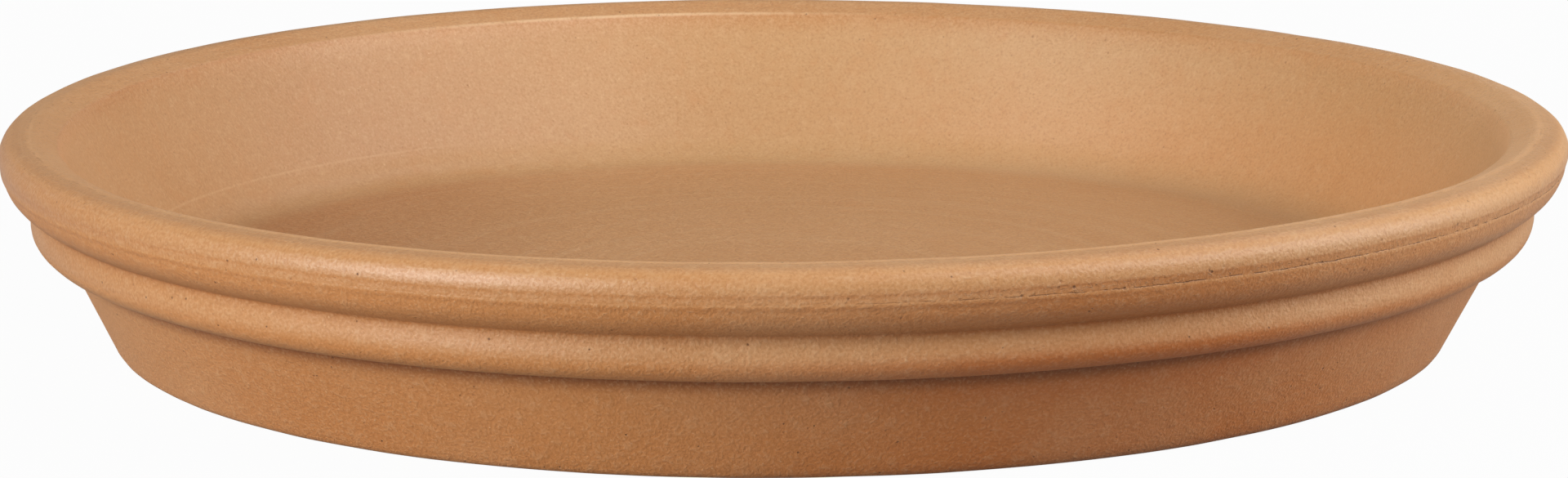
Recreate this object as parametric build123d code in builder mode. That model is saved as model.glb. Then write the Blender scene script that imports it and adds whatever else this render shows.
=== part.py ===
"""Round terracotta plant saucer, pressed and fired in one piece.

The part stands on its foot ring at z = 0, centred on the z axis. Its section is drawn on the
XZ plane, as (distance from the axis, height), and turned once round the axis.
"""

import os

from build123d import *

# Driving dimensions in millimetres

# Overall
rim_diameter = 310.0  # across the rolled rim, at its widest line
height = 43.0  # standing plane to the crest of the rim

# Rolled rim: insets are measured level, inwards from the widest line
rim_depth = 13.1  # crest down to the neck, the groove under the rim
roll_rise = 3.9  # widest line up to the crest
shoulder_inset = 3.0  # where the roll runs out into the top of the rim
shoulder_drop = 0.5  # crest down to that shoulder
crest_inset = 5.5
lip_inset = 11.5  # inner edge of the rim, where the inside wall begins
lip_drop = 1.6  # crest down to that inner edge
neck_inset = 6.7

# Bead under the rim, with a face that leans out and an underside with some draft
bead_depth = 10.1  # neck down to the groove under the bead
bead_inset = 5.0  # lower corner of the bead, before it is rounded
bead_draft = 2.6  # that corner above the groove under the bead
bead_radius = 4.4

# Plain wall and floor
wall_inset = 12.7  # top of the plain wall, in the groove under the bead
foot_inset = 22.9  # outer corner of the foot, before it is bevelled
wall_thickness = 10.0  # measured level, where the wall meets the floor
floor_thickness = 9.0
floor_corner_radius = 10.0

# Foot ring round the shallow recess in the underside
foot_bevel = 2.4  # cut back along the standing plane, and as far up the wall
foot_width = 16.0
recess_depth = 2.0
recess_bank = 5.0  # how far the recess takes, measured level, to reach its depth

# Radii of the section, from the axis
rim_r = rim_diameter / 2
shoulder_r = rim_r - shoulder_inset
crest_r = rim_r - crest_inset
lip_r = rim_r - lip_inset
neck_r = rim_r - neck_inset
bead_r = rim_r - bead_inset
wall_r = rim_r - wall_inset
foot_r = rim_r - foot_inset
recess_r = foot_r - foot_width

# Heights of the section, from the standing plane
widest_z = height - roll_rise
shoulder_z = height - shoulder_drop
lip_z = height - lip_drop
neck_z = height - rim_depth
wall_top_z = neck_z - bead_depth
bead_z = wall_top_z + bead_draft
floor_z = recess_depth + floor_thickness

# The plain wall leans out from the foot to the groove under the bead
wall_slope = (wall_r - foot_r) / wall_top_z
bevel_r = foot_r + wall_slope * foot_bevel
floor_r = foot_r + wall_slope * floor_z - wall_thickness

with BuildPart() as saucer:
    with BuildSketch(Plane.XZ):
        with BuildLine():
            # Underside and plain wall, from the axis out and up to the groove under the bead
            Polyline(
                (0, recess_depth),
                (recess_r - recess_bank, recess_depth),
                (recess_r, 0),
                (foot_r - foot_bevel, 0),
                (bevel_r, foot_bevel),
                (wall_r, wall_top_z),
            )
            # Bead, round its lower corner and up its leaning face to the neck
            FilletPolyline(
                (wall_r, wall_top_z),
                (bead_r, bead_z),
                (neck_r, neck_z),
                radius=bead_radius,
            )
            # Rolled rim: both rolls leave the widest line upright
            TangentArc((rim_r, widest_z), (neck_r, neck_z), tangent=(0, -1))
            TangentArc((rim_r, widest_z), (shoulder_r, shoulder_z), tangent=(0, 1))
            # Top of the rim, over the crest and down to its inner edge
            Polyline((shoulder_r, shoulder_z), (crest_r, height), (lip_r, lip_z))
            # Inside, down the wall and across the floor to the axis
            FilletPolyline(
                (lip_r, lip_z),
                (floor_r, floor_z),
                (0, floor_z),
                radius=floor_corner_radius,
            )
            Line((0, floor_z), (0, recess_depth))
        make_face()
    revolve(axis=Axis.Z)

saucer.part.label = "saucer"
os.makedirs("parts", exist_ok=True)
export_step(saucer.part, "parts/saucer.step")
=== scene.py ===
"""Looks of a terracotta plant saucer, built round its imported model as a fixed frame.

The saucer is one piece of fired clay. Its section is drawn point by point and turned once round
the axis, then made uneven as pressed clay is, and dressed in a matt, fine-grained terracotta.
All lengths are in metres, in the frame's own axes: +Z is up, and the camera looks along +Y.
"""

import logging
import math
from dataclasses import dataclass
from enum import Enum
from typing import Any, Iterable, Sequence

import bpy
from mathutils import Euler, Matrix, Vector


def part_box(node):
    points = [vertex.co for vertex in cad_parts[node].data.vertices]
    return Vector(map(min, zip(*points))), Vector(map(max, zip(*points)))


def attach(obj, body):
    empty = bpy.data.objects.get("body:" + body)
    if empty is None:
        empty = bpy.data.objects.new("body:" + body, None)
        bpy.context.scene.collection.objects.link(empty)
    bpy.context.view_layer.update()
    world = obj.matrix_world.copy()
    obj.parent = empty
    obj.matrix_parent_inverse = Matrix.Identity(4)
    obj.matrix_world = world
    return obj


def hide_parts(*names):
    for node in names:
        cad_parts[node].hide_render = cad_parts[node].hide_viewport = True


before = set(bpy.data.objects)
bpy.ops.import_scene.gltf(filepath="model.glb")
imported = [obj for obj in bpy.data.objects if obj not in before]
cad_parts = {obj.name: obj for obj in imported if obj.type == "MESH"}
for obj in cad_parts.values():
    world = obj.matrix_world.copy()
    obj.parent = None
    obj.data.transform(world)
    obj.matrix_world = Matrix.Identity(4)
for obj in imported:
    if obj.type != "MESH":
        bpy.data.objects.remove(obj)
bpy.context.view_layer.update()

LOG = logging.getLogger("saucer")

Colour = tuple[float, float, float, float]
Point = tuple[float, float]
Span = tuple[float, float]

MM = 0.001
FULL_TURN = 2 * math.pi
WHITE: Colour = (1.0, 1.0, 1.0, 1.0)

# Finer layers of the plain noise, and of the noise in broad patches and broken lines
FINE_DETAIL = 2.0
BROAD_DETAIL = 3.0


class Ray(Enum):
    """Kinds of rays that show the white ground, by the names of their sockets."""

    CAMERA = "Is Camera Ray"
    GLOSSY = "Is Glossy Ray"
    TRANSMISSION = "Is Transmission Ray"


class Graph:
    """One material's or world's node tree, filled in by code.

    Args:
        owner: The material or world whose nodes are replaced.
    """

    def __init__(self, owner: bpy.types.Material | bpy.types.World) -> None:
        """Clear the owner's node tree and keep it."""
        owner.use_nodes = True
        self.tree = owner.node_tree
        self.tree.nodes.clear()

    def node(
        self,
        kind: str,
        settings: dict[str, Any] | None = None,
        inputs: dict[str | int, Any] | None = None,
    ) -> bpy.types.Node:
        """Add one node.

        Args:
            kind: Blender's name of the node's type.
            settings: Properties of the node, set before its sockets are filled.
            inputs: Values, sockets or Numbers, by the name or place of their socket.

        Returns:
            The new node.
        """
        made = self.tree.nodes.new(kind)
        for name, value in (settings or {}).items():
            setattr(made, name, value)
        for key, value in (inputs or {}).items():
            self.feed(made.inputs[key], value)
        return made

    def feed(self, socket: bpy.types.NodeSocket, value: Any) -> None:
        """Link a socket to another one, or set its value.

        Args:
            socket: The input socket to fill.
            value: A Number, an output socket, or a plain value.
        """
        source = value.socket if isinstance(value, Number) else value
        if isinstance(source, bpy.types.NodeSocket):
            self.tree.links.new(source, socket)
        else:
            socket.default_value = source

    def number(self, socket: bpy.types.NodeSocket) -> "Number":
        """Wrap an output socket for arithmetic."""
        return Number(self, socket)

    def mix(self, share: Any, under: Any, over: Any) -> bpy.types.NodeSocket:
        """Lay one colour over another.

        Args:
            share: How much of the upper colour shows, from 0 to 1.
            under: The lower colour.
            over: The upper colour.

        Returns:
            The socket of the mixed colour.
        """
        made = self.node("ShaderNodeMix", {"data_type": "RGBA", "blend_type": "MIX"})
        colours = [s for s in made.inputs if s.type == "RGBA"]
        self.feed(made.inputs["Factor"], share)
        self.feed(colours[0], under)
        self.feed(colours[1], over)
        return next(s for s in made.outputs if s.type == "RGBA")


class Number:
    """A shader socket that turns Python arithmetic into Math nodes.

    Args:
        graph: The node tree that the nodes are added to.
        socket: The output socket that holds the value.
    """

    def __init__(self, graph: Graph, socket: bpy.types.NodeSocket) -> None:
        """Keep the tree and the socket."""
        self.graph = graph
        self.socket = socket

    def _math(self, operation: str, *values: Any) -> "Number":
        """Add one Math node over the given values."""
        made = self.graph.node("ShaderNodeMath", {"operation": operation}, dict(enumerate(values)))
        return Number(self.graph, made.outputs[0])

    def __add__(self, other: Any) -> "Number":
        """Add a value."""
        return self._math("ADD", self, other)

    __radd__ = __add__

    def __sub__(self, other: Any) -> "Number":
        """Take a value away."""
        return self._math("SUBTRACT", self, other)

    def __rsub__(self, other: Any) -> "Number":
        """Take this from a value."""
        return self._math("SUBTRACT", other, self)

    def __mul__(self, other: Any) -> "Number":
        """Multiply by a value."""
        return self._math("MULTIPLY", self, other)

    __rmul__ = __mul__

    def __truediv__(self, other: Any) -> "Number":
        """Divide by a value."""
        return self._math("DIVIDE", self, other)

    def __pow__(self, other: Any) -> "Number":
        """Raise to a power."""
        return self._math("POWER", self, other)

    def __abs__(self) -> "Number":
        """Drop the sign."""
        return self._math("ABSOLUTE", self)

    def step(self, none: float, full: float, origin: float = 0.0) -> "Number":
        """Go smoothly from 0 at one value to 1 at another, whichever of them is the larger.

        Args:
            none: The value where the result is 0.
            full: The value where the result is 1.
            origin: The value that both are measured from.

        Returns:
            The smooth step.
        """
        falling = none > full
        made = self.graph.node(
            "ShaderNodeMapRange",
            {"interpolation_type": "SMOOTHSTEP"},
            {
                "Value": self,
                "From Min": origin + min(none, full),
                "From Max": origin + max(none, full),
                "To Min": 1.0 if falling else 0.0,
                "To Max": 0.0 if falling else 1.0,
            },
        )
        return Number(self.graph, made.outputs["Result"])

    def near(self, value: Any, reach: float) -> "Number":
        """Give 1 at a value, falling smoothly to 0 at a distance of reach from it.

        Args:
            value: The value where the result is 1.
            reach: The distance at which the result is 0.

        Returns:
            The smooth bump.
        """
        return abs(self - value).step(reach, 0.0)


Layer = tuple[Number, Colour]


@dataclass(frozen=True)
class Corner:
    """One corner of the section, before it is rounded.

    Args:
        r: Distance from the axis.
        z: Height above the standing plane.
        radius: Radius that the corner is rounded to.
        spacing: Distance between points on the way to the corner and round it.
    """

    r: float
    z: float
    radius: float
    spacing: float


def rounded(corners: Sequence[Corner], least_steps: int = 3) -> list[Point]:
    """Draw an outline through corners, each rounded by its own arc.

    Args:
        corners: The corners in order; the first and the last stay sharp.
        least_steps: Fewest steps that an arc is drawn in.

    Returns:
        The points of the outline.
    """
    spots = [Vector((c.r, c.z)) for c in corners]
    outline = [spots[0]]
    for before, corner, after, sizes in zip(spots, spots[1:], spots[2:], corners[1:]):
        back = (before - corner).normalized()
        ahead = (after - corner).normalized()
        half_angle = back.angle(ahead) / 2
        cut = sizes.radius / math.tan(half_angle)
        centre = corner + (back + ahead).normalized() * sizes.radius / math.sin(half_angle)
        start = corner + back * cut - centre
        turn = start.angle_signed(corner + ahead * cut - centre)
        outline += straight(outline[-1], centre + start, sizes.spacing)
        steps = max(least_steps, round(abs(turn) * sizes.radius / sizes.spacing))
        outline += [centre + turned(start, turn * i / steps) for i in range(1, steps + 1)]
    outline += straight(outline[-1], spots[-1], corners[-1].spacing)
    return [(p.x, p.y) for p in outline]


def straight(start: Vector, end: Vector, spacing: float) -> list[Vector]:
    """Divide a straight run evenly, leaving out its first point."""
    steps = max(1, round((end - start).length / spacing))
    return [start.lerp(end, i / steps) for i in range(1, steps + 1)]


def eased(share: float) -> float:
    """Smooth a share's rise from 0 to 1, and hold it there."""
    held = min(max(share, 0.0), 1.0)
    return held * held * (3.0 - 2.0 * held)


def turned(arm: Vector, angle: float) -> Vector:
    """Turn a flat arm clockwise by an angle, the sense of Vector.angle_signed."""
    c, s = math.cos(angle), math.sin(angle)
    return Vector((arm.x * c + arm.y * s, arm.y * c - arm.x * s))


class ClayGraph(Graph):
    """The clay's node tree, with its places and patterns.

    Args:
        material: The material whose nodes are replaced.
        saucer: The piece, whose warp is taken out of the places.
    """

    # How much of the noise its finer layers are, and its mean
    ROUGHNESS = 0.55
    MEAN = 0.5

    # Part of a spot's radius that is full, and how softly the places that have a spot are chosen
    CORE = 0.3
    CHOICE = 0.05

    def __init__(self, material: bpy.types.Material, saucer: "Saucer") -> None:
        """Read the place before the kiln's warp, the distance from the axis and how far a face looks up."""
        super().__init__(material)
        self.place = self.node("ShaderNodeTexCoord").outputs["Object"]
        axes = self.node("ShaderNodeSeparateXYZ", inputs={0: self.place})
        x, y, z = (self.number(s) for s in axes.outputs)
        self.x, self.y, self.z = x + saucer.slip(z), y, z - saucer.rise(x, y, z)
        self.radius = (self.x * self.x + self.y * self.y) ** 0.5
        normal = self.node("ShaderNodeNewGeometry").outputs["Normal"]
        self.upward = self.number(self.node("ShaderNodeSeparateXYZ", inputs={0: normal}).outputs["Z"])

    def noise(self, size: float, detail: float = FINE_DETAIL, place: Any = None) -> Number:
        """Lay soft noise over the piece.

        Args:
            size: About how large its patches are.
            detail: How many finer layers it has.
            place: The coordinates it reads; the place on the piece if there are none.

        Returns:
            The noise, about 0 and within half of 1.
        """
        made = self.node(
            "ShaderNodeTexNoise",
            inputs={
                "Vector": place or self.place,
                "Scale": 1 / size,
                "Detail": detail,
                "Roughness": self.ROUGHNESS,
            },
        )
        return self.number(made.outputs["Fac"]) - self.MEAN

    def rings(self, width: float, length: float) -> Number:
        """Lay streaks round the axis, as a turning mould or tool leaves them.

        Args:
            width: About how wide a streak is.
            length: About how far it runs before it fades.

        Returns:
            The streaks, about 0.
        """
        along = (self.x + self.y) / length
        place = self.node(
            "ShaderNodeCombineXYZ", inputs={0: self.radius / width, 1: self.z / width, 2: along}
        )
        return self.noise(1.0, place=place.outputs[0])

    def spots(self, cell: float, reach: float, share: float) -> Number:
        """Scatter round spots.

        Args:
            cell: Mean distance between the places where a spot may lie.
            reach: Radius of a spot.
            share: Part of those places that have one.

        Returns:
            The spots, 1 in the middle of each and 0 elsewhere.
        """
        made = self.node("ShaderNodeTexVoronoi", inputs={"Vector": self.place, "Scale": 1 / cell})
        pick = self.node("ShaderNodeSeparateColor", inputs={0: made.outputs["Color"]})
        chosen = self.number(pick.outputs[0]).step(0.0, self.CHOICE, origin=1 - share)
        edge = reach / cell
        return self.number(made.outputs["Distance"]).step(edge, self.CORE * edge) * chosen

    def beside(self, ring: Point, reach: float) -> Number:
        """Give 1 on a ring round the axis, falling to 0 at a distance from it.

        Args:
            ring: The ring's radius and height.
            reach: The distance at which the result is 0.

        Returns:
            The nearness.
        """
        off_r, off_z = self.radius - ring[0], self.z - ring[1]
        return ((off_r * off_r + off_z * off_z) ** 0.5).step(reach, 0.0)


@dataclass(frozen=True)
class Mark:
    """One kind of mark in the clay.

    Args:
        size: Size of its pattern, or width of its line.
        show: How much of its own colour shows, from 0 to 1.
        height: How far it stands out of the clay, or into it below 0.
    """

    size: float
    show: float
    height: float = 0.0


@dataclass(frozen=True)
class Spots(Mark):
    """A kind of mark that is scattered in round spots.

    Args:
        reach: Radius of a spot.
        share: Part of the pattern's places that have one.
    """

    reach: float = 0.3 * MM
    share: float = 0.3

    def lay(self, clay: ClayGraph) -> Number:
        """Scatter the spots over the clay."""
        return clay.spots(self.size, self.reach, self.share)


@dataclass(frozen=True)
class Lines(Mark):
    """A kind of mark that runs in fine lines, where soft noise crosses 0.

    Args:
        width: Half the width of a line, in the noise's own values.
    """

    width: float = 0.001

    def lay(self, clay: ClayGraph) -> Number:
        """Draw the lines over the clay."""
        return clay.noise(self.size).near(0.0, self.width)


@dataclass(frozen=True)
class Breaks:
    """Soft noise that breaks a line or an area up.

    Args:
        size: About how long an unbroken stretch is.
        span: The values of the noise from where nothing shows to where all does.
        detail: How many finer layers the noise has.
    """

    size: float
    span: Span
    detail: float = BROAD_DETAIL

    def lay(self, clay: ClayGraph) -> Number:
        """Give 1 where something shows and 0 where it is missing."""
        return clay.noise(self.size, self.detail).step(*self.span)


@dataclass(frozen=True)
class Waver:
    """Soft noise that makes a line stray from its height.

    Args:
        size: About how long a wave is.
        reach: How far the line strays, from its lowest to its highest.
        detail: How many finer layers the noise has.
    """

    size: float
    reach: float
    detail: float = FINE_DETAIL


@dataclass(frozen=True)
class Zones:
    """The parts of the saucer, each as 1 inside it and 0 elsewhere.

    Args:
        within: The inside, from the floor up to the lip.
        floor: The inside's floor.
        rim: The rolled rim, with its top and its underside.
        top: The top of the rim.
        brim: That top at the back and at the left end, down to the lip, darkened and reddened as painted
            shade.
        face: The faces that hands rub, above the mould's seam and on the bead.
        neck: The groove under the rim, darkened by painted shade.
        groove: The groove under the bead, darkened by painted shade, less of it on the right.
        parting: The rim's right side, where the two halves of the mould met badly.
        red_shade: The front, a little to the right, darker and redder as painted shade and warm bounce
            light, most in the groove under the bead and below the neck.
        left_painted_shadow: The left end of the inside, darkened as a painted shadow, most of all on the
            floor.
        right_faces_painted_light: The right side of the rim and the bead, paler as painted light.
        left_end_dark: The left end of the rim, the bead and the wall, darker there.
        warm: The right end of the inside, which is redder.
        crest_highlight: The rim's crest at the front, brightened as a painted highlight.
        shoulder: The rim's shoulder at the front, between its face and that crest, darkened as painted
            shade.
        glow: The rounded corner between the floor and the inner wall, on the right, brightened as painted
            light.
        painted_highlight: The wall's left end, and the inside a little to the right, paled as a painted
            highlight.
        foot: The foot's edge, a little to the right, darkened as painted shade.
    """

    within: Number
    floor: Number
    rim: Number
    top: Number
    brim: Number
    face: Number
    neck: Number
    groove: Number
    parting: Number
    red_shade: Number
    left_painted_shadow: Number
    right_faces_painted_light: Number
    left_end_dark: Number
    warm: Number
    crest_highlight: Number
    shoulder: Number
    glow: Number
    painted_highlight: Number
    foot: Number


@dataclass(frozen=True)
class Layout:
    """Where the zones lie on the saucer.

    A span runs from where its zone is 0 to where it is 1, and a patch has a middle and a reach. An
    upright one is a height and a level one a radius, both measured from the form that is named. One
    across is measured from the saucer's middle to the right, and one along from there to the back. A
    slope is how far a face looks up: 1 on a level top, 0 on an upright wall and -1 on an underside.

    Args:
        top_upright: Span about the lip, for the top of the rim.
        inside_upright: Span about the floor, for the inside.
        inside_slope: Span of slope, for the inside.
        inside_level: Span about the lip, for the inside.
        floor_level: Span about the floor's corner, for the floor.
        rim_upright: Span about the neck, for the rim.
        face_slope_above: Span of slope at the upper end of the outer faces.
        face_slope_below: Span of slope at their lower end.
        seam_upright: Span about the mould's seam, for the face above it.
        bead_upright: Span about the neck, for the upper end of the bead's face.
        bead_depth: Depth below the neck where the bead's face begins to fade.
        bead_share: How much of a rubbed face the bead's is.
        wall_upright: Span about the groove under the bead, for the plain wall.
        neck_reach: How far the painted shade reaches from the neck.
        groove_reach: How far it reaches from the groove under the bead.
        groove_shade_fade_across: Span across, where the painted shade in that groove grows fainter.
        groove_shade_fade_share: How much fainter it grows.
        parting_across: Span across, for the mould's bad fit.
        parting_least: How much of it there is on the left.
        red_shade_across: Patch across, for the red painted shade.
        red_shade_along: Span along, for that painted shade.
        red_shade_upright: Span about the neck, for that painted shade below it.
        red_shade_reach: How far that painted shade reaches from the groove under the bead.
        red_shade_groove: How much redder it is in that groove.
        red_shade_below: How much redder it is below the neck.
        red_shade_least: How red it is everywhere.
        shadow_wall_across: Span across, for the painted shadow on the inner wall.
        shadow_wall_share: How strong that painted shadow is on the wall, beside the floor.
        shadow_floor_across: Span across, for the painted shadow on the floor.
        brim_along: Span along, for the back of the brim.
        brim_across: Span across, for its left end.
        brim_level: Span about the lip, for the brim.
        front_along: Span along, for the front of the rim.
        crest_highlight_level: Span about the crest, for that painted highlight.
        shoulder_slope_below: Span of slope at the lower end of the shoulder.
        shoulder_slope_above: Span of slope at its upper end.
        right_faces_across: Span across, for the right side's painted light.
        left_dark_face_across: Span across, for the darkening on the rim and the bead.
        left_dark_wall_across: Patch across, for the darkening on the wall.
        left_dark_wall_share: How much of the darkening the wall has.
        warm_across: Span across, for the inside's warm end.
        glow_level: Patch about the floor's corner, for the glow.
        glow_across: Span across, for the glow.
        highlight_wall_across: Span across, for the painted highlight on the wall's end.
        highlight_inside_across: Patch across, for the painted highlight inside.
        foot_upright: Span above the standing plane, for the foot's edge.
        foot_across: Patch across, for the foot's dirt.
    """

    top_upright: Span = (-2 * MM, 0.0)
    inside_upright: Span = (-2 * MM, -MM)
    inside_slope: Span = (0.0, 0.2)
    inside_level: Span = (MM, -3 * MM)
    floor_level: Span = (-3 * MM, -13 * MM)
    rim_upright: Span = (0.0, 4 * MM)
    face_slope_above: Span = (0.9, 0.6)
    face_slope_below: Span = (-0.4, -0.1)
    seam_upright: Span = (-MM, MM)
    bead_upright: Span = (0.0, -3 * MM)
    bead_depth: float = 6 * MM
    bead_share: float = 0.9
    wall_upright: Span = (0.0, -4 * MM)

    neck_reach: float = 2.6 * MM
    groove_reach: float = 4.2 * MM
    groove_shade_fade_across: Span = (50 * MM, 130 * MM)
    groove_shade_fade_share: float = 0.6
    parting_across: Span = (-20 * MM, 75 * MM)
    parting_least: float = 0.05

    red_shade_across: Span = (60 * MM, 102 * MM)
    red_shade_along: Span = (0.0, -60 * MM)
    red_shade_upright: Span = (3 * MM, -3 * MM)
    red_shade_reach: float = 10 * MM
    red_shade_groove: float = 0.5
    red_shade_below: float = 0.3
    red_shade_least: float = 0.45

    shadow_wall_across: Span = (10 * MM, -110 * MM)
    shadow_wall_share: float = 0.45
    shadow_floor_across: Span = (-35 * MM, -105 * MM)
    brim_along: Span = (20 * MM, 90 * MM)
    brim_across: Span = (-75 * MM, -140 * MM)
    brim_level: Span = (-MM, 0.3 * MM)
    front_along: Span = (40 * MM, -40 * MM)
    crest_highlight_level: Span = (1.7 * MM, 0.7 * MM)
    shoulder_slope_below: Span = (0.70, 0.94)
    shoulder_slope_above: Span = (1.0, 0.986)

    right_faces_across: Span = (10 * MM, 95 * MM)
    left_dark_face_across: Span = (-100 * MM, -148 * MM)
    left_dark_wall_across: Span = (-92 * MM, 60 * MM)
    left_dark_wall_share: float = 0.7
    warm_across: Span = (50 * MM, 150 * MM)
    glow_level: Span = (3 * MM, 13 * MM)
    glow_across: Span = (-10 * MM, 95 * MM)
    highlight_wall_across: Span = (-85 * MM, -140 * MM)
    highlight_inside_across: Span = (66 * MM, 75 * MM)
    foot_upright: Span = (3.5 * MM, 0.0)
    foot_across: Span = (70 * MM, 110 * MM)

    def zones(self, clay: ClayGraph, saucer: "Saucer") -> Zones:
        """Mask the zones.

        Args:
            clay: The node tree.
            saucer: The piece whose sizes place the zones.

        Returns:
            The masks.
        """
        x, y, z, radius, upward = clay.x, clay.y, clay.z, clay.radius, clay.upward
        neck_z, groove_z = saucer.neck[1], saucer.groove[1]

        above_floor = z.step(*self.inside_upright, saucer.floor_z) * upward.step(*self.inside_slope)
        within = radius.step(*self.inside_level, saucer.lip_r) * above_floor
        floor = radius.step(*self.floor_level, saucer.floor_r) * within
        inner_wall = within - floor
        rim = z.step(*self.rim_upright, neck_z) * (1 - within)
        top = z.step(*self.top_upright, saucer.lip_z)

        outward = upward.step(*self.face_slope_above) * upward.step(*self.face_slope_below) * (1 - within)
        above_seam = z.step(*self.seam_upright, saucer.seam_z)
        on_bead = z.step(*self.bead_upright, neck_z) * z.step(groove_z, neck_z - self.bead_depth)
        face = outward * (above_seam + on_bead * self.bead_share)
        on_wall = z.step(*self.wall_upright, groove_z) * (1 - within)

        groove_shade_fade = x.step(*self.groove_shade_fade_across) * self.groove_shade_fade_share
        parting = x.step(*self.parting_across) * (1 - self.parting_least) + self.parting_least
        by_groove = z.near(groove_z, self.red_shade_reach) * self.red_shade_groove
        below_neck = z.step(*self.red_shade_upright, neck_z) * self.red_shade_below
        red_shade_weight = by_groove + below_neck + self.red_shade_least
        shadow_wall = inner_wall * x.step(*self.shadow_wall_across) * self.shadow_wall_share
        shadow_floor = floor * x.step(*self.shadow_floor_across)
        brim = y.step(*self.brim_along) + x.step(*self.brim_across)
        in_front = rim * y.step(*self.front_along)
        crest_highlight = in_front * radius.step(*self.crest_highlight_level, saucer.crest_r)
        sloping = upward.step(*self.shoulder_slope_below) * upward.step(*self.shoulder_slope_above)
        left_dark_wall = on_wall * x.near(*self.left_dark_wall_across) * self.left_dark_wall_share
        pale_end = x.step(*self.highlight_wall_across) * z.step(neck_z, groove_z) * (1 - within)
        glow_offset, glow_reach = self.glow_level
        corner = within * radius.near(saucer.floor_r + glow_offset, glow_reach)
        return Zones(
            within=within,
            floor=floor,
            rim=rim,
            top=top * (1 - within),
            brim=top * brim * radius.step(*self.brim_level, saucer.lip_r),
            face=face,
            neck=clay.beside(saucer.neck, self.neck_reach),
            groove=clay.beside(saucer.groove, self.groove_reach) * (1 - groove_shade_fade),
            parting=rim * parting,
            red_shade=x.near(*self.red_shade_across) * y.step(*self.red_shade_along) * red_shade_weight,
            left_painted_shadow=shadow_wall + shadow_floor,
            right_faces_painted_light=face * x.step(*self.right_faces_across),
            left_end_dark=face * x.step(*self.left_dark_face_across) + left_dark_wall,
            warm=within * x.step(*self.warm_across),
            crest_highlight=crest_highlight,
            shoulder=sloping * in_front * (1 - crest_highlight),
            glow=corner * x.step(*self.glow_across),
            painted_highlight=pale_end + x.near(*self.highlight_inside_across) * inner_wall,
            foot=z.step(*self.foot_upright) * x.near(*self.foot_across),
        )


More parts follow.
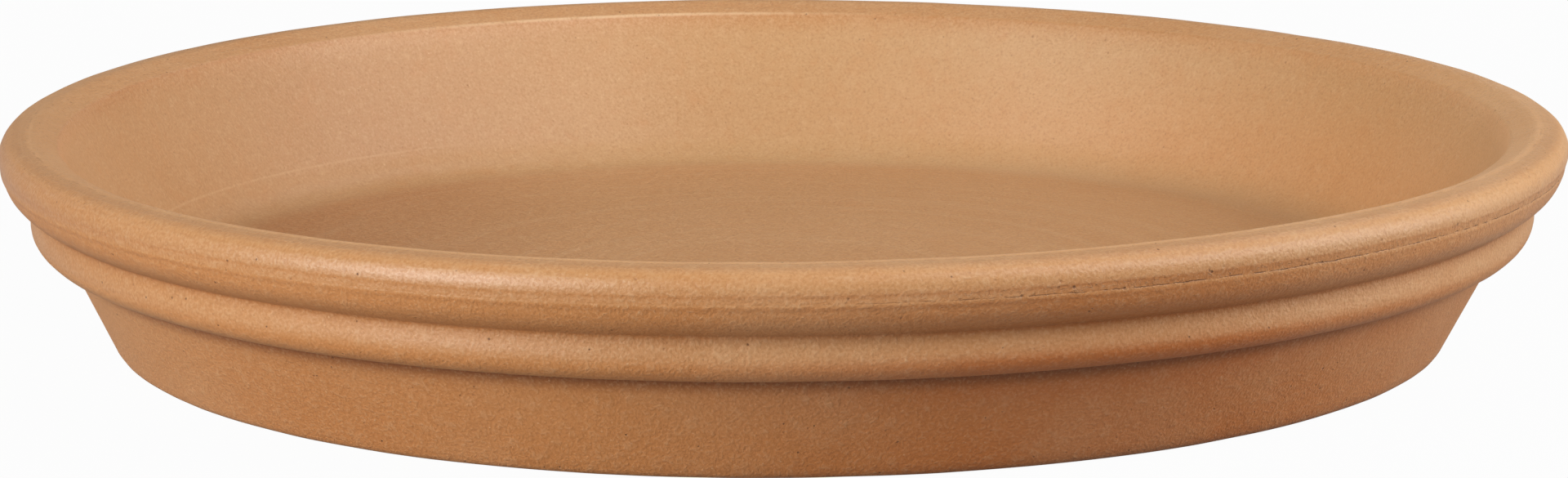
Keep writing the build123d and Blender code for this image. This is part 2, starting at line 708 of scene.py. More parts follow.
@dataclass(frozen=True)
class Wear:
    """The marks that making, firing and use leave in the clay, and where they lie, with a few painted
    highlights among them.

    Spans and patches are as in the layout of the zones, and a band is a span of a pattern's own values.

    Args:
        cloud: Broad pale patches.
        blotch: Soft patches as wide as a finger.
        leather: The skin's fine unevenness.
        grain: The finest grain of the clay.
        streaks: Streaks that tools left round the inside and the top.
        pores: Faint dark pores.
        pinholes: Open pinholes.
        specks: Pale grains.
        glints: Smoother grains in the burnished rim, also painted pale as glints.
        seam: The line that the mould left round the rim.
        chips: Chips beside that line.
        nicks: Short cracks beside it.
        rubbed_and_highlit: The pale edge of the lip, partly worn and partly a painted highlight.
        crease: The broken line along the crest.
        hairlines: Fine scratches on the inside.
        cloud_within: How much fainter the clouds are inside.
        leather_floor: How much stronger the leather is on the floor.
        grain_outside: Strength of the grain outside.
        grain_within: How much weaker it is inside.
        grain_floor: How much stronger it is on the floor.
        pinholes_within: How many fewer pinholes show inside.
        streaks_within: Strength of the streaks inside.
        streaks_floor: How much stronger they are on the floor.
        wide_streaks: Width of the inside's streaks, in sizes of the mark.
        wide_length: How far those streaks run.
        fine_streaks: Width of the top's streaks, in sizes of the mark.
        fine_length: How far those streaks run.
        seam_wavers: How the seam strays from its height.
        seam_breaks: Where the seam is broken.
        chipped_rise: Height above the seam where most of it is chipped.
        chipped_reach: How far from there the chips reach.
        lip_line_breaks: Where the lip's pale edge is broken.
        lip_line_along: Span along, for that edge.
        lip_line_across: Patch across, for that edge.
        tide_rise: Height above the floor of the pale line that water left.
        tide_width: Half the width of that line.
        tide_across: Span across, for that line.
        tide_share: How much of it shows, beside the lip's edge.
        crease_offset: How far outside the crest the crease runs.
        crease_breaks: Where the crease is broken.
        crease_across: Span across, to both sides, for the crease.
        scratched: Where the inside is scratched.
        cloud_band: Band where the clouds turn pale.
        blotch_band: Band where the blotches turn red.
        streak_band: Band where the streaks turn pale, or dark on the other side of 0.
        leather_band: The same for the leather.
        grain_band: The same for the grain.
    """

    cloud: Mark = Mark(45 * MM, 0.14)
    blotch: Mark = Mark(9 * MM, 0.18, 0.14 * MM)
    leather: Mark = Mark(2.2 * MM, 0.12, 0.17 * MM)
    grain: Mark = Mark(0.6 * MM, 0.16, 0.11 * MM)
    streaks: Mark = Mark(1.0 * MM, 0.10, 0.04 * MM)
    pores: Spots = Spots(2.3 * MM, 0.22, -0.08 * MM, reach=0.34 * MM, share=0.30)
    pinholes: Spots = Spots(3.0 * MM, 0.65, -0.16 * MM, reach=0.28 * MM, share=0.45)
    specks: Spots = Spots(1.8 * MM, 0.40, reach=0.24 * MM, share=0.50)
    glints: Spots = Spots(0.9 * MM, 0.30, reach=0.22 * MM, share=0.35)
    seam: Mark = Mark(0.16 * MM, 0.65, -0.10 * MM)
    chips: Spots = Spots(2.3 * MM, 0.75, -0.20 * MM, reach=0.46 * MM, share=0.55)
    nicks: Lines = Lines(3 * MM, 0.6, width=0.010)
    rubbed_and_highlit: Mark = Mark(0.75 * MM, 0.95)
    crease: Mark = Mark(0.45 * MM, 0.40)
    hairlines: Lines = Lines(34 * MM, 0.25, width=0.0011)

    cloud_within: float = 0.5
    leather_floor: float = 0.9
    grain_outside: float = 1.6
    grain_within: float = 0.4
    grain_floor: float = 1.4
    pinholes_within: float = 0.7
    streaks_within: float = 0.5
    streaks_floor: float = 0.7
    wide_streaks: float = 2.4
    wide_length: float = 90 * MM
    fine_streaks: float = 0.7
    fine_length: float = 50 * MM

    seam_wavers: tuple[Waver, ...] = (Waver(6 * MM, 0.5 * MM, detail=4.0), Waver(1.1 * MM, 0.4 * MM))
    seam_breaks: Breaks = Breaks(2.6 * MM, (-0.10, 0.06))
    chipped_rise: float = 0.7 * MM
    chipped_reach: float = 1.9 * MM
    lip_line_breaks: Breaks = Breaks(7 * MM, (-0.28, -0.06))
    lip_line_along: Span = (-20 * MM, 60 * MM)
    lip_line_across: Span = (-35 * MM, 75 * MM)
    tide_rise: float = 6 * MM
    tide_width: float = 0.4 * MM
    tide_across: Span = (-50 * MM, -95 * MM)
    tide_share: float = 0.2
    crease_offset: float = MM
    crease_breaks: Breaks = Breaks(5 * MM, (0.0, 0.12))
    crease_across: Span = (85 * MM, 125 * MM)
    scratched: Breaks = Breaks(13 * MM, (0.06, 0.14), detail=FINE_DETAIL)

    cloud_band: Span = (-0.08, 0.22)
    blotch_band: Span = (0.02, 0.27)
    streak_band: Span = (0.04, 0.24)
    leather_band: Span = (0.02, 0.24)
    grain_band: Span = (0.02, 0.24)

    def marks(self, clay: ClayGraph, saucer: "Saucer", zones: Zones) -> dict[str, Number]:
        """Lay out the patterns, under the names of their marks.

        Args:
            clay: The node tree.
            saucer: The piece whose sizes place the patterns.
            zones: The parts of the saucer.

        Returns:
            The patterns.
        """
        kinds = vars(self).items()
        spots = {name: kind.lay(clay) for name, kind in kinds if isinstance(kind, Spots)}

        line = clay.z
        for waver in self.seam_wavers:
            line = line + clay.noise(waver.size, waver.detail) * waver.reach
        seam = line.near(saucer.seam_z, self.seam.size) * self.seam_breaks.lay(clay) * zones.parting
        chipped = line.near(saucer.seam_z + self.chipped_rise, self.chipped_reach) * zones.parting
        nicks = self.nicks.lay(clay) * chipped * self.nicks.show

        lip = clay.beside((saucer.lip_r, saucer.lip_z), self.rubbed_and_highlit.size) * self.lip_line_breaks.lay(clay)
        back_left = clay.y.step(*self.lip_line_along) * clay.x.near(*self.lip_line_across)
        tide = clay.z.near(saucer.floor_z + self.tide_rise, self.tide_width) * clay.x.step(*self.tide_across)
        crest = clay.beside((saucer.crest_r + self.crease_offset, saucer.height), self.crease.size)
        both_ends = abs(clay.x).step(*self.crease_across)

        wide = clay.rings(self.wide_streaks * self.streaks.size, self.wide_length)
        fine = clay.rings(self.fine_streaks * self.streaks.size, self.fine_length)
        swept = zones.within * self.streaks_within + zones.floor * self.streaks_floor
        grainy = self.grain_outside - zones.within * self.grain_within + zones.floor * self.grain_floor
        return spots | {
            "cloud": clay.noise(self.cloud.size, BROAD_DETAIL) * (1 - zones.within * self.cloud_within),
            "blotch": clay.noise(self.blotch.size, BROAD_DETAIL),
            "leather": clay.noise(self.leather.size) * (1 + zones.floor * self.leather_floor),
            "grain": clay.noise(self.grain.size) * grainy,
            "streaks": wide * swept + fine * zones.top,
            "glints": spots["glints"] * zones.rim,
            "pinholes": spots["pinholes"] * (1 - zones.within * self.pinholes_within),
            "seam": seam + nicks,
            "chips": spots["chips"] * chipped,
            "rubbed_and_highlit": lip * back_left + tide * zones.within * self.tide_share,
            "crease": crest * self.crease_breaks.lay(clay) * both_ends,
            "hairlines": self.hairlines.lay(clay) * self.scratched.lay(clay) * zones.within,
        }

    def relief(self, marks: dict[str, Number]) -> Number:
        """Add up the height of the marks, in metres.

        Args:
            marks: The patterns.

        Returns:
            The height.
        """
        heights = {name: getattr(self, name).height for name in marks}
        raised = [marks[name] * height for name, height in heights.items() if height]
        return sum(raised[1:], raised[0])


def two_sided(pattern: Number, band: Span, show: float, high: Colour, low: Colour) -> list[Layer]:
    """Colour a pattern's high and low parts.

    Args:
        pattern: The pattern, about 0.
        band: The values from where the high part's colour is missing to where it is whole.
        show: How much of the colours shows.
        high: Colour of the high parts.
        low: Colour of the low parts.

    Returns:
        The two layers.
    """
    faint, whole = band
    return [(pattern.step(faint, whole) * show, high), (pattern.step(-faint, -whole) * show, low)]


@dataclass(frozen=True)
class Terracotta:
    """Unglazed fired clay: matt, fine grained, redder outside and paler within, with painted light and shade
    in its colour.

    Args:
        outside: Clay of the outer wall and of the faces that look down, darker and redder there: partly the
            clay's own colour, partly painted shade and warm bounce light.
        red_shade: Darker, redder clay for the painted shade and warm bounce light at the front right.
        edge: Clay of the bead and the face of the rim.
        top: Clay of the top of the rim, paler: partly dust, partly painted light on the faces that look up.
        highlight_clay: Brighter clay for the painted highlight at the rim's two ends and along its crest.
        inside: Clay of the inner wall.
        worn: Clay of the floor, dulled by use.
        flush: Redder clay for the inside's right end.
        corner_light_clay: Bright clay for the painted light in the inside's corner.
        pale: Pale grains, worn edges and scratches, and painted highlights.
        deep: Dark clay for the pores, the grain and the crease, and for painted shade in the grooves and
            elsewhere.
        pit: Colour inside the pinholes, the chips and the mould's seam.
        roughness: Roughness of the plain clay.
        uneven: How far the grain and the leather change it.
        burnish: How much smoother the rim is.
        sparkle: How much smoother the glints are.
        specular: Specular level of the clay.
        skin: Weight of the satin skin on the faces that hands rub.
        skin_inside: Weight of that skin on the inner wall.
        skin_roughness: Roughness of the satin skin.
        skin_grain: How far the grain breaks the satin skin.
        skin_lost: How much of the skin hands took off on the right.
        dust: Weight of the fine dust that pales the clay at a glancing look.
        dust_roughness: Roughness of the dust.
        dust_colour: Colour of the dust.
        edge_slope: Span of slope over which the outside turns to the edge's clay.
        edge_red_shade: How much of that painted shade shows through that clay.
        top_slope: Span of slope over which that turns to the top's clay.
        ends_highlight_across: Span across, to both sides, where the top gets that painted highlight.
        ends_highlight_share: How strong that painted highlight is.
        right_faces_painted_light: How much paler the rim's right side is, as painted light.
        left_dark_share: How much darker the left end of the rim is.
        left_red_share: How much redder it is.
        warm_share: How much redder the inside's right end is.
        glow: How much of that painted light shows in the inside's corner.
        crest_highlight: How much brighter the crest at the front is, as a painted highlight.
        shoulder_painted_shade: How much darker the rim's shoulder is, as painted shade.
        brim_shade_red: How much redder the brim's painted shade is.
        brim_painted_shade: How much darker that painted shade makes it.
        left_shadow_dark: How much darker the inside's left end is, as a painted shadow.
        left_shadow_red: How much redder that painted shadow is.
        painted_highlight_share: How much paler the painted highlight makes the clay.
        foot_painted_shade: How much painted shade darkens the foot's edge.
        neck_painted_shade: How much painted shade darkens the groove under the rim.
        groove_painted_shade: How much painted shade darkens the groove under the bead.
        layout: Where the zones lie.
        wear: The marks in the clay.
    """

    outside: Colour = (0.560, 0.235, 0.078, 1.0)
    red_shade: Colour = (0.528, 0.154, 0.034, 1.0)
    edge: Colour = (0.532, 0.257, 0.097, 1.0)
    top: Colour = (0.620, 0.333, 0.149, 1.0)
    highlight_clay: Colour = (0.760, 0.412, 0.182, 1.0)
    inside: Colour = (0.550, 0.317, 0.145, 1.0)
    worn: Colour = (0.569, 0.284, 0.117, 1.0)
    flush: Colour = (0.500, 0.240, 0.085, 1.0)
    corner_light_clay: Colour = (0.850, 0.345, 0.110, 1.0)
    pale: Colour = (0.740, 0.490, 0.280, 1.0)
    deep: Colour = (0.250, 0.080, 0.026, 1.0)
    pit: Colour = (0.120, 0.045, 0.018, 1.0)

    roughness: float = 0.52
    uneven: float = 0.15
    burnish: float = 0.10
    sparkle: float = 0.22
    specular: float = 0.28
    skin: float = 0.60
    skin_inside: float = 0.25
    skin_roughness: float = 0.39
    skin_grain: float = 1.6
    skin_lost: float = 0.70
    dust: float = 0.04
    dust_roughness: float = 0.4
    dust_colour: Colour = (1.0, 0.82, 0.60, 1.0)

    edge_slope: Span = (-0.5, 0.2)
    edge_red_shade: float = 0.2
    top_slope: Span = (0.6, 0.98)
    ends_highlight_across: Span = (85 * MM, 150 * MM)
    ends_highlight_share: float = 0.45
    right_faces_painted_light: float = 0.14
    left_dark_share: float = 0.14
    left_red_share: float = 0.30
    warm_share: float = 0.42
    glow: float = 0.28
    crest_highlight: float = 0.60
    shoulder_painted_shade: float = 0.25
    brim_shade_red: float = 0.14
    brim_painted_shade: float = 0.10
    left_shadow_dark: float = 0.48
    left_shadow_red: float = 0.40
    painted_highlight_share: float = 0.20
    foot_painted_shade: float = 0.40
    neck_painted_shade: float = 0.32
    groove_painted_shade: float = 0.97

    layout: Layout = Layout()
    wear: Wear = Wear()

    def material(self, saucer: "Saucer") -> bpy.types.Material:
        """Mix the clay.

        Args:
            saucer: The piece whose sizes place the zones and the marks.

        Returns:
            The material.
        """
        material = bpy.data.materials.new("terracotta")
        clay = ClayGraph(material, saucer)
        zones = self.layout.zones(clay, saucer)
        marks = self.wear.marks(clay, saucer, zones)
        bump = clay.node(
            "ShaderNodeBump",
            inputs={"Strength": 1.0, "Distance": 1.0, "Height": self.wear.relief(marks)},
        )
        uneven = (marks["grain"] + marks["leather"]) * self.uneven
        polish = zones.rim * self.burnish + marks["glints"] * self.sparkle
        rubbed_and_highlit = zones.face - zones.right_faces_painted_light * self.skin_lost
        satin = rubbed_and_highlit * self.skin + (zones.within - zones.floor) * self.skin_inside
        shader = clay.node(
            "ShaderNodeBsdfPrincipled",
            inputs={
                "Base Color": self.colour(clay, zones, marks),
                "Roughness": uneven - polish + self.roughness,
                "Specular IOR Level": self.specular,
                "Coat Weight": satin * (marks["grain"] * self.skin_grain + 1.0),
                "Coat Roughness": self.skin_roughness,
                "Sheen Weight": self.dust,
                "Sheen Roughness": self.dust_roughness,
                "Sheen Tint": self.dust_colour,
                "Normal": bump.outputs["Normal"],
            },
        )
        clay.node("ShaderNodeOutputMaterial", inputs={"Surface": shader.outputs[0]})
        return material

    def colour(self, clay: ClayGraph, zones: Zones, marks: dict[str, Number]) -> bpy.types.NodeSocket:
        """Colour the clay zone by zone, then with its marks.

        Args:
            clay: The node tree.
            zones: The parts of the saucer.
            marks: The patterns.

        Returns:
            The socket of the colour.
        """
        colour = self.outside
        for share, tint in self.zone_layers(clay, zones) + self.mark_layers(zones, marks):
            colour = clay.mix(share, colour, tint)
        return colour

    def zone_layers(self, clay: ClayGraph, zones: Zones) -> list[Layer]:
        """List the layers of colour that belong to the zones.

        Args:
            clay: The node tree.
            zones: The parts of the saucer.

        Returns:
            The layers, lowest first.
        """
        both_ends = abs(clay.x).step(*self.ends_highlight_across)
        return [
            # Painted shade and warm bounce light: darker, redder clay at the front right, most in the groove
            # under the bead and below the neck.
            (zones.red_shade, self.red_shade),
            # Partly painted shade and light: faces that look down keep the darker, redder outer clay, and
            # faces that look up turn paler.
            (clay.upward.step(*self.edge_slope) * (1 - zones.red_shade * self.edge_red_shade), self.edge),
            (clay.upward.step(*self.top_slope), self.top),
            # Painted highlight: brighter clay on the top at both ends of the rim.
            (zones.top * both_ends * self.ends_highlight_share, self.highlight_clay),
            (zones.within, self.inside),
            (zones.floor, self.worn),
            # Painted shadow: the inside's left end is darker and redder, most of all on the floor.
            (zones.left_painted_shadow * self.left_shadow_dark, self.deep),
            (zones.left_painted_shadow * self.left_shadow_red, self.outside),
            # The inside's right end is redder.
            (zones.warm * self.warm_share, self.flush),
            # Painted light: bright clay in the corner between the floor and the inner wall, on the right.
            (zones.glow * self.glow, self.corner_light_clay),
            # Painted highlight: brighter clay along the crest at the front.
            (zones.crest_highlight * self.crest_highlight, self.highlight_clay),
            # Painted shade: a darker band on the rim's shoulder at the front.
            (zones.shoulder * self.shoulder_painted_shade, self.deep),
            # Painted shade: the top is darker and redder at the back and at the left end.
            (zones.brim * self.brim_shade_red, self.outside),
            (zones.brim * self.brim_painted_shade, self.deep),
            # Painted light: paler clay on the right side of the rim and the bead.
            (zones.right_faces_painted_light * self.right_faces_painted_light, self.pale),
            # The left end of the rim, the bead and part of the wall are darker and redder.
            (zones.left_end_dark * self.left_red_share, self.outside),
            (zones.left_end_dark * self.left_dark_share, self.deep),
            # Painted highlight: paler clay on the wall's left end and on the inner wall a little to the
            # right.
            (zones.painted_highlight * self.painted_highlight_share, self.pale),
            # Painted shade: the foot's edge is darker, a little to the right.
            (zones.foot * self.foot_painted_shade, self.deep),
        ]

    def mark_layers(self, zones: Zones, marks: dict[str, Number]) -> list[Layer]:
        """List the layers of colour that belong to the marks.

        Args:
            zones: The parts of the saucer.
            marks: The patterns.

        Returns:
            The layers, lowest first.
        """
        wear = self.wear
        streaks, leather, grain = marks["streaks"], marks["leather"], marks["grain"]
        return [
            (marks["cloud"].step(*wear.cloud_band) * wear.cloud.show, self.pale),
            (marks["blotch"].step(*wear.blotch_band) * wear.blotch.show, self.outside),
            # Painted shade: the grooves under the rim and under the bead are darkened.
            (zones.neck * self.neck_painted_shade + zones.groove * self.groove_painted_shade, self.deep),
            *two_sided(streaks, wear.streak_band, wear.streaks.show, self.pale, self.outside),
            # The lip's pale edge at the back, partly wear and partly a painted highlight, with the pale tide
            # line inside.
            (marks["rubbed_and_highlit"] * wear.rubbed_and_highlit.show, self.pale),
            (marks["crease"] * wear.crease.show, self.deep),
            *two_sided(leather, wear.leather_band, wear.leather.show, self.pale, self.outside),
            *two_sided(grain, wear.grain_band, wear.grain.show, self.pale, self.deep),
            (marks["specks"] * wear.specks.show, self.pale),
            # Painted glints: the rim's smoother grains are coloured pale.
            (marks["glints"] * wear.glints.show, self.pale),
            (marks["hairlines"] * wear.hairlines.show, self.pale),
            (marks["pores"] * wear.pores.show, self.deep),
            (marks["pinholes"] * wear.pinholes.show, self.pit),
            (marks["chips"] * wear.chips.show, self.pit),
            (marks["seam"] * wear.seam.show, self.pit),
        ]


@dataclass(frozen=True)
class Unevenness:
    """One scale of the soft lumps that pressing and firing leave in clay.

    Args:
        name: What the lumps are called.
        size: Distance from lump to lump.
        height: How far the lumps reach, from lowest to highest.
        layers: How many finer layers of lumps there are.
        middle: The texture's value that leaves the surface where it is.
    """

    name: str
    size: float
    height: float
    layers: int = 1
    middle: float = 0.5

    def press(self, piece: bpy.types.Object) -> None:
        """Push a piece's surface in and out by these lumps.

        Args:
            piece: The mesh object that is shaped.
        """
        texture = bpy.data.textures.new(self.name, "CLOUDS")
        texture.noise_scale = self.size
        texture.noise_depth = self.layers
        lumps = piece.modifiers.new(self.name, "DISPLACE")
        lumps.texture = texture
        lumps.texture_coords = "LOCAL"
        lumps.strength = self.height
        lumps.mid_level = self.middle
        bpy.ops.object.modifier_apply(modifier=lumps.name)


@dataclass
class Saucer:
    """The saucer, one piece of clay turned from a single section.

    The rim's radius and the height come from the frame. The other sizes are close to the model's, and
    were fitted to the photograph. An inset is measured level, inwards from the rim's widest line, and a
    drop down from the crest. A radius rounds the corner that it is named for, and a spacing is the
    distance between the section's points on the way to a corner and round it.

    Args:
        rim_r: Radius of the rim at its widest line.
        height: Height of the crest above the standing plane.
        segments: Steps that the section is turned in.
        weld: Distance below which two points of the turned mesh become one.
        ledge: How far the ledge under the mould's seam stands out past the seam.
        ledge_drop: Depth of that ledge below the seam.
        under_rise: Height of the rim's underside above the neck.
        rim_depth: Depth of the neck below the crest.
        bead_depth: Depth of the groove under the bead below the neck.
        bead_draft: Height of the bead's lower corner above that groove.
        foot_width: Width of the foot ring.
        recess_bank: Width over which the recess in the underside reaches its depth.
        recess_depth: Depth of that recess.
        floor_thickness: Thickness of the floor above it.
        wall_thickness: Thickness of the wall, measured level, where it meets the floor.
        mend: Thickness of the clay that fills the mould's seam.
        mend_drop: Depth of the fill's middle below the seam.
        mend_height: How far the fill reaches above and below that.
        mend_azimuth: Degrees round from the front to the fill's middle, to the right.
        mend_span: Degrees from there to where the fill begins to thin, and to where it is thinnest.
        mend_least: Part of the fill's thickness that is left there.
        twist: How far the kiln lifts or sinks the rim on its diagonals.
        twist_foot: Part of that twist at the foot.
        lean: How far the foot slips to the left under the rim.
        lumps: The soft lumps in the surface.
    """

    rim_r: float
    height: float
    segments: int = 500
    weld: float = 0.005 * MM

    lip_inset: float = 11.5 * MM
    lip_drop: float = 2.2 * MM
    crest_inset: float = 6.5 * MM
    shoulder_drop: float = 0.9 * MM
    face_drop: float = 5.0 * MM
    seam_drop: float = 6.6 * MM
    seam_inset: float = 0.60 * MM
    ledge: float = 0.02 * MM
    ledge_drop: float = 0.7 * MM
    under_inset: float = 1.75 * MM
    under_rise: float = 2.6 * MM
    neck_inset: float = 6.3 * MM
    rim_depth: float = 13.5 * MM
    bead_inset: float = 5.9 * MM
    bead_depth: float = 9.15 * MM
    bead_draft: float = 0.6 * MM
    wall_inset: float = 12.8 * MM
    foot_inset: float = 23.1 * MM
    foot_width: float = 16.0 * MM
    recess_bank: float = 5.0 * MM
    recess_depth: float = 2.0 * MM
    floor_thickness: float = 9.0 * MM
    wall_thickness: float = 10.0 * MM

    lip_radius: float = 1.4 * MM
    crest_radius: float = 3.5 * MM
    shoulder_radius: float = 4.0 * MM
    face_radius: float = 1.6 * MM
    seam_radius: float = 0.9 * MM
    ledge_radius: float = 2.2 * MM
    under_radius: float = 7.2 * MM
    neck_radius: float = 0.9 * MM
    bead_radius: float = 5.0 * MM
    groove_radius: float = 0.8 * MM
    foot_radius: float = 2.3 * MM
    recess_radius: float = 3.0 * MM
    floor_radius: float = 10.0 * MM

    recess_spacing: float = 8.0 * MM
    bank_spacing: float = 1.5 * MM
    foot_spacing: float = 2.0 * MM
    wall_spacing: float = 1.6 * MM
    bead_spacing: float = 0.8 * MM
    neck_spacing: float = 0.7 * MM
    under_spacing: float = 0.5 * MM
    seam_spacing: float = 0.3 * MM
    face_spacing: float = 0.4 * MM
    crest_spacing: float = 0.7 * MM
    lip_spacing: float = 0.6 * MM
    inner_spacing: float = 2.0 * MM
    floor_spacing: float = 4.0 * MM

    mend: float = 0.30 * MM
    mend_drop: float = 0.1 * MM
    mend_height: float = 1.5 * MM
    mend_azimuth: float = -56.0
    mend_span: Span = (68.0, 90.0)
    mend_least: float = 0.35

    twist: float = 0.55 * MM
    twist_foot: float = 0.4
    lean: float = 0.9 * MM

    lumps: tuple[Unevenness, ...] = (
        Unevenness("sag", 110 * MM, 0.25 * MM),
        Unevenness("ripple", 16 * MM, 0.16 * MM),
    )

    @property
    def lip_r(self) -> float:
        """Radius of the inner edge of the rim."""
        return self.rim_r - self.lip_inset

    @property
    def lip_z(self) -> float:
        """Height of the inner edge of the rim."""
        return self.height - self.lip_drop

    @property
    def crest_r(self) -> float:
        """Radius of the crest."""
        return self.rim_r - self.crest_inset

    @property
    def neck_r(self) -> float:
        """Radius of the neck, the groove under the rim."""
        return self.rim_r - self.neck_inset

    @property
    def neck(self) -> Point:
        """Radius and height of the neck."""
        return self.neck_r, self.height - self.rim_depth

    @property
    def groove(self) -> Point:
        """Radius and height of the groove under the bead."""
        return self.rim_r - self.wall_inset, self.height - self.rim_depth - self.bead_depth

    @property
    def foot_r(self) -> float:
        """Radius of the outer corner of the foot."""
        return self.rim_r - self.foot_inset

    @property
    def floor_z(self) -> float:
        """Height of the inside floor."""
        return self.recess_depth + self.floor_thickness

    @property
    def floor_r(self) -> float:
        """Radius where the inner wall would meet the floor in a sharp corner."""
        groove_r, groove_z = self.groove
        slope = (groove_r - self.foot_r) / groove_z
        return self.foot_r + slope * self.floor_z - self.wall_thickness

    @property
    def seam_z(self) -> float:
        """Height of the mould's seam on the rim."""
        return self.height - self.seam_drop

    def corners(self) -> list[Corner]:
        """List the section's corners, from the axis under the floor round to the axis above it.

        Returns:
            The corners in order.
        """
        recess_r = self.foot_r - self.foot_width
        bank_r = recess_r - self.recess_bank
        neck_r, neck_z = self.neck
        groove_r, groove_z = self.groove
        bead_r, bead_z = self.rim_r - self.bead_inset, groove_z + self.bead_draft
        under_r, under_z = self.rim_r - self.under_inset, neck_z + self.under_rise
        seam_r = self.rim_r - self.seam_inset
        ledge_r, ledge_z = seam_r + self.ledge, self.seam_z - self.ledge_drop
        face_z = self.height - self.face_drop
        shoulder_z = self.height - self.shoulder_drop
        sharp = 0.0
        return [
            Corner(0.0, self.recess_depth, sharp, self.recess_spacing),
            Corner(bank_r, self.recess_depth, self.recess_radius, self.recess_spacing),
            Corner(recess_r, 0.0, self.recess_radius, self.bank_spacing),
            Corner(self.foot_r, 0.0, self.foot_radius, self.foot_spacing),
            Corner(groove_r, groove_z, self.groove_radius, self.wall_spacing),
            Corner(bead_r, bead_z, self.bead_radius, self.bead_spacing),
            Corner(neck_r, neck_z, self.neck_radius, self.neck_spacing),
            Corner(under_r, under_z, self.under_radius, self.under_spacing),
            Corner(ledge_r, ledge_z, self.ledge_radius, self.seam_spacing),
            Corner(seam_r, self.seam_z, self.seam_radius, self.seam_spacing),
            Corner(self.rim_r, face_z, self.face_radius, self.face_spacing),
            Corner(self.rim_r, shoulder_z, self.shoulder_radius, self.face_spacing),
            Corner(self.crest_r, self.height, self.crest_radius, self.crest_spacing),
            Corner(self.lip_r, self.lip_z, self.lip_radius, self.lip_spacing),
            Corner(self.floor_r, self.floor_z, self.floor_radius, self.inner_spacing),
            Corner(0.0, self.floor_z, sharp, self.floor_spacing),
        ]

    def model(self) -> bpy.types.Object:
        """Draw the section, turn it round the axis and make it uneven.

        Returns:
            The saucer's mesh object.
        """
        piece = self.draw_section()
        self.turn(piece)
        for lumps in self.lumps:
            lumps.press(piece)
        self.mend_seam(piece)
        self.warp(piece)
        bpy.ops.object.shade_smooth()
        return piece

    def draw_section(self) -> bpy.types.Object:
        """Draw the section as a line of edges, extruded point by point from one vertex.

        Returns:
            The mesh object that holds the line.
        """
        points = rounded(self.corners())
        bpy.ops.object.select_all(action="DESELECT")
        bpy.ops.mesh.primitive_plane_add(size=MM)
        piece = bpy.context.object
        piece.name = "terracotta_saucer"
        bpy.ops.object.mode_set(mode="EDIT")
        bpy.ops.mesh.select_all(action="SELECT")
        bpy.ops.mesh.merge(type="CENTER")
        bpy.ops.transform.translate(value=(points[0][0], 0.0, points[0][1]))
        for (r0, z0), (r1, z1) in zip(points, points[1:]):
            step = (r1 - r0, 0.0, z1 - z0)
            bpy.ops.mesh.extrude_vertices_move(TRANSFORM_OT_translate={"value": step})
        bpy.ops.object.mode_set(mode="OBJECT")
        return piece

    def turn(self, piece: bpy.types.Object) -> None:
        """Turn the section once round the axis, and close the seam and the poles.

        Args:
            piece: The mesh object that holds the section.
        """
        lathe = piece.modifiers.new("lathe", "SCREW")
        lathe.axis = "Z"
        lathe.angle = FULL_TURN
        lathe.steps = lathe.render_steps = self.segments
        lathe.use_merge_vertices = True
        bpy.ops.object.modifier_apply(modifier=lathe.name)
        bpy.ops.object.mode_set(mode="EDIT")
        bpy.ops.mesh.select_all(action="SELECT")
        bpy.ops.mesh.remove_doubles(threshold=self.weld)
        bpy.ops.mesh.normals_make_consistent(inside=False)
        bpy.ops.object.mode_set(mode="OBJECT")

    def mend_seam(self, piece: bpy.types.Object) -> None:
        """Fill the mould's seam, most of all on the left, where the two halves met well.

        Args:
            piece: The saucer's mesh object.
        """
        turn = math.radians(self.mend_azimuth)
        middle = Vector((math.sin(turn), -math.cos(turn), 0.0))
        narrow, wide = (math.cos(math.radians(angle)) for angle in self.mend_span)
        for vertex in piece.data.vertices:
            outwards = Vector((vertex.co.x, vertex.co.y, 0.0))
            beside = abs(vertex.co.z - self.seam_z + self.mend_drop) / self.mend_height
            if beside < 1.0 and outwards.length > self.neck_r:
                outwards.normalize()
                across = max(self.mend_least, eased((outwards.dot(middle) - wide) / (narrow - wide)))
                vertex.co += outwards * (self.mend * across * eased(1.0 - beside))

    def warp(self, piece: bpy.types.Object) -> None:
        """Warp the saucer as the kiln does: the rim twists, and the foot slips off its middle.

        Args:
            piece: The saucer's mesh object.
        """
        for vertex in piece.data.vertices:
            x, y, z = vertex.co
            vertex.co.z += self.rise(x, y, z)
            vertex.co.x -= self.slip(z)

    def rise(self, x: Any, y: Any, z: Any) -> Any:
        """Give how far the twist lifts a point.

        The product of x and y is half the rim's squared radius on its diagonals.

        Args:
            x: The point's place to the right, as a plain number or a shader Number.
            y: Its place to the back.
            z: Its height.

        Returns:
            The lift, of the same kind.
        """
        gain = (1 - self.twist_foot) / self.height
        return x * y * (-2 * self.twist / self.rim_r**2) * (z * gain + self.twist_foot)

    def slip(self, z: Any) -> Any:
        """Give how far a point at a height lies off to the left, from plain numbers or shader Numbers."""
        return (self.height - z) * (self.lean / self.height)

    def dress(self, piece: bpy.types.Object, finish: Terracotta) -> None:
        """Give the piece its clay, and seat it in the frame in the node's place.

        Args:
            piece: The saucer's mesh object.
            finish: The clay.
        """
        piece.data.materials.clear()
        piece.data.materials.append(finish.material(self))
        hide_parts("saucer")
        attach(piece, "root")


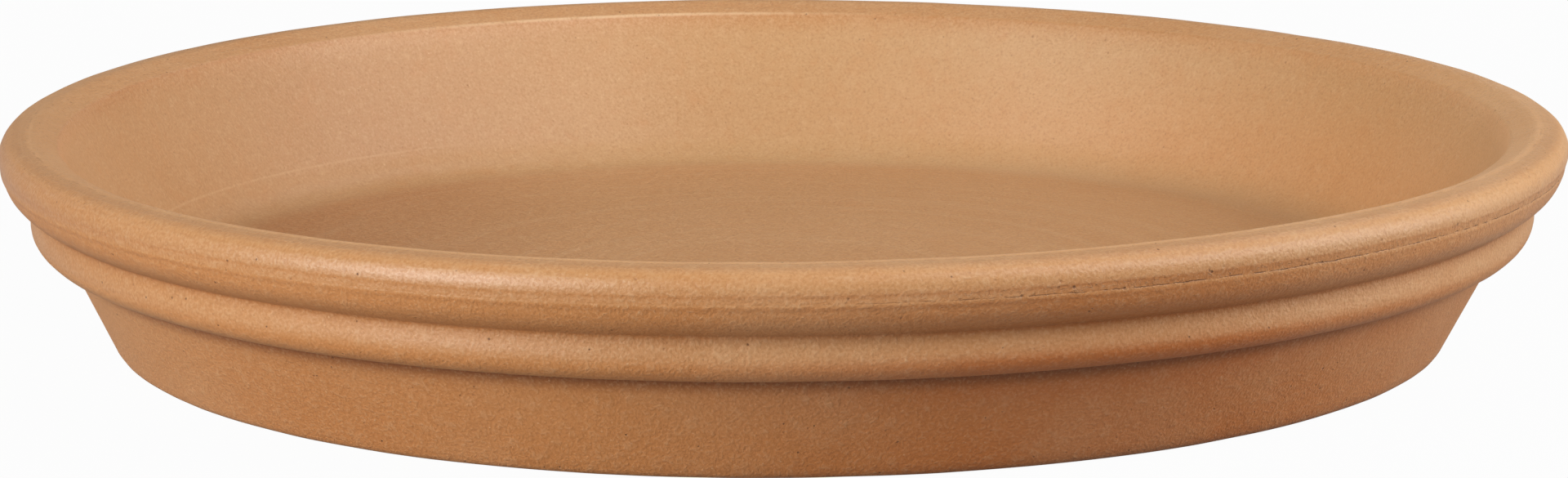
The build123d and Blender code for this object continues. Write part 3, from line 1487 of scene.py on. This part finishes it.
@dataclass(frozen=True)
class Softbox:
    """A square lamp with a white cloth, aimed at the saucer.

    Args:
        name: Where the lamp stands.
        azimuth: Degrees round from the camera's side, to the right.
        elevation: Degrees above the floor.
        power: Lamp power in watts.
        glossy: Whether the lamp shows in gloss; a plain fill lamp doesn't.
        distance: Distance from the saucer's middle.
        size: Side of the cloth.
    """

    name: str
    azimuth: float
    elevation: float
    power: float
    glossy: bool = True
    distance: float = 1.6
    size: float = 0.55

    def place(self, target: Vector) -> None:
        """Set the lamp up, looking at a point.

        Args:
            target: The point that the lamp looks at.
        """
        turn, rise = math.radians(self.azimuth), math.radians(self.elevation)
        away = Vector((math.sin(turn) * math.cos(rise), -math.cos(turn) * math.cos(rise), math.sin(rise)))
        lamp = bpy.data.lights.new(self.name, "AREA")
        lamp.shape = "SQUARE"
        lamp.size = self.size
        lamp.energy = self.power
        stand = bpy.data.objects.new(self.name, lamp)
        stand.location = target + away * self.distance
        stand.rotation_euler = away.to_track_quat("Z", "Y").to_euler()
        stand.visible_glossy = self.glossy
        bpy.context.scene.collection.objects.link(stand)


@dataclass(frozen=True)
class Studio:
    """A pale floor, soft lamps and an even white surround.

    Args:
        floor_size: Side of the floor.
        floor_colour: Colour of the floor's cloth.
        show: How much of the white ground the camera sees in place of the lit floor.
        mirrored: How strongly that ground shows in gloss.
        softboxes: The lamps.
    """

    floor_size: float = 12.0
    floor_colour: Colour = (0.30, 0.30, 0.30, 1.0)
    show: float = 0.97
    mirrored: float = 0.20
    softboxes: tuple[Softbox, ...] = (
        Softbox("left_front_low", -45.0, 8.0, 10.8),
        Softbox("left_front", -45.0, 28.0, 7.2),
        Softbox("left_low", -60.0, 8.0, 3.7),
        Softbox("left", -60.0, 28.0, 3.4),
        Softbox("right_front", 60.0, 28.0, 9.0),
        Softbox("right_front_high", 45.0, 52.0, 5.1),
        Softbox("right", 90.0, 28.0, 6.2),
        Softbox("right_low", 90.0, 8.0, 7.0),
        Softbox("right_back", 135.0, 52.0, 3.6),
        Softbox("left_back_low", -140.0, 10.0, 4.5, glossy=False),
        Softbox("back_low", 165.0, 10.0, 3.5, glossy=False),
    )

    def build(self, target: Vector, level: float) -> None:
        """Lay the floor, set the lamps up and light the surround.

        Args:
            target: The point that the lamps look at.
            level: Height of the floor.
        """
        self.lay_floor(level)
        for softbox in self.softboxes:
            softbox.place(target)
        self.light_surround()

    def seen(self, graph: Graph) -> Number:
        """Weigh the rays that show the ground: the camera's own, refracted ones, and mirrored ones less.

        Args:
            graph: The node tree that asks.

        Returns:
            The weight, 1 for the camera's own rays.
        """
        path = graph.node("ShaderNodeLightPath")
        camera, glossy, transmission = (graph.number(path.outputs[ray.value]) for ray in Ray)
        return camera + transmission + glossy * self.mirrored

    def lay_floor(self, level: float) -> None:
        """Lay a plain floor that takes the saucer's shadow and looks white to the camera.

        Args:
            level: Height of the floor.
        """
        bpy.ops.object.select_all(action="DESELECT")
        bpy.ops.mesh.primitive_plane_add(size=self.floor_size, location=(0.0, 0.0, level))
        floor = bpy.context.object
        floor.name = "floor"
        material = bpy.data.materials.new("floor_cloth")
        graph = Graph(material)
        cloth = graph.node("ShaderNodeBsdfDiffuse", inputs={"Color": self.floor_colour})
        glow = graph.node("ShaderNodeEmission", inputs={"Strength": 1.0})
        seen = self.seen(graph) * self.show
        mixed = graph.node("ShaderNodeMixShader", inputs={0: seen, 1: cloth.outputs[0], 2: glow.outputs[0]})
        graph.node("ShaderNodeOutputMaterial", inputs={"Surface": mixed.outputs[0]})
        floor.data.materials.append(material)

    def light_surround(self) -> None:
        """Show white behind the saucer, and fainter in its gloss."""
        world = bpy.data.worlds.new("surround")
        bpy.context.scene.world = world
        graph = Graph(world)
        white = {"Color": WHITE, "Strength": self.seen(graph)}
        light = graph.node("ShaderNodeBackground", inputs=white)
        graph.node("ShaderNodeOutputWorld", inputs={"Surface": light.outputs[0]})


@dataclass(frozen=True)
class PhotoCamera:
    """The camera that took the photograph, found from the saucer's outline.

    Args:
        width_px: Width of the picture.
        focal_px: Focal length, in pixels of that width.
        distance: Distance to the middle of the rim's top.
        elevation: Degrees that the camera stands above the rim's top.
        pitch: Degrees that it looks below the middle of the rim's top.
        yaw: Degrees that it looks to the right of it.
        roll: Degrees that it leans to the right.
        sensor_mm: Width of its sensor, in millimetres.
        nearest: Distance from where on it sees.
    """

    width_px: float = 1920.0
    focal_px: float = 7080.0
    distance: float = 1.1508
    elevation: float = 9.908
    pitch: float = 1.238
    yaw: float = -0.004
    roll: float = 0.195
    sensor_mm: float = 36.0
    nearest: float = 0.01

    def place(self, target: Vector) -> None:
        """Set the camera up and make it the scene's own.

        Args:
            target: The middle of the rim's top.
        """
        rise = math.radians(self.elevation)
        camera = bpy.data.cameras.new("photo_camera")
        camera.sensor_width = self.sensor_mm
        camera.lens = self.sensor_mm * self.focal_px / self.width_px
        camera.clip_start = self.nearest
        stand = bpy.data.objects.new("photo_camera", camera)
        stand.location = target + Vector((0.0, -math.cos(rise), math.sin(rise))) * self.distance
        down = math.radians(90.0 - self.elevation - self.pitch)
        look = Euler((down, 0.0, -math.radians(self.yaw))).to_matrix()
        lean = Euler((0.0, 0.0, -math.radians(self.roll))).to_matrix()
        stand.rotation_euler = (look @ lean).to_euler()
        bpy.context.scene.collection.objects.link(stand)
        bpy.context.scene.camera = stand


def main() -> None:
    """Build the saucer, its studio and its camera, and log the saucer's count of faces."""
    logging.basicConfig(level=logging.INFO, format="%(name)s: %(message)s")
    bpy.context.scene.view_settings.view_transform = "Standard"
    low, high = (Vector(corner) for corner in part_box("saucer"))
    saucer = Saucer(rim_r=(high.x - low.x) / 2, height=high.z)
    piece = saucer.model()
    saucer.dress(piece, Terracotta())
    LOG.info("%s: %d faces", piece.name, len(piece.data.polygons))

    rim_centre = Vector((0.0, 0.0, saucer.height))
    Studio().build(rim_centre, level=min(vertex.co.z for vertex in piece.data.vertices))
    PhotoCamera().place(rim_centre)


if __name__ == "__main__":
    main()
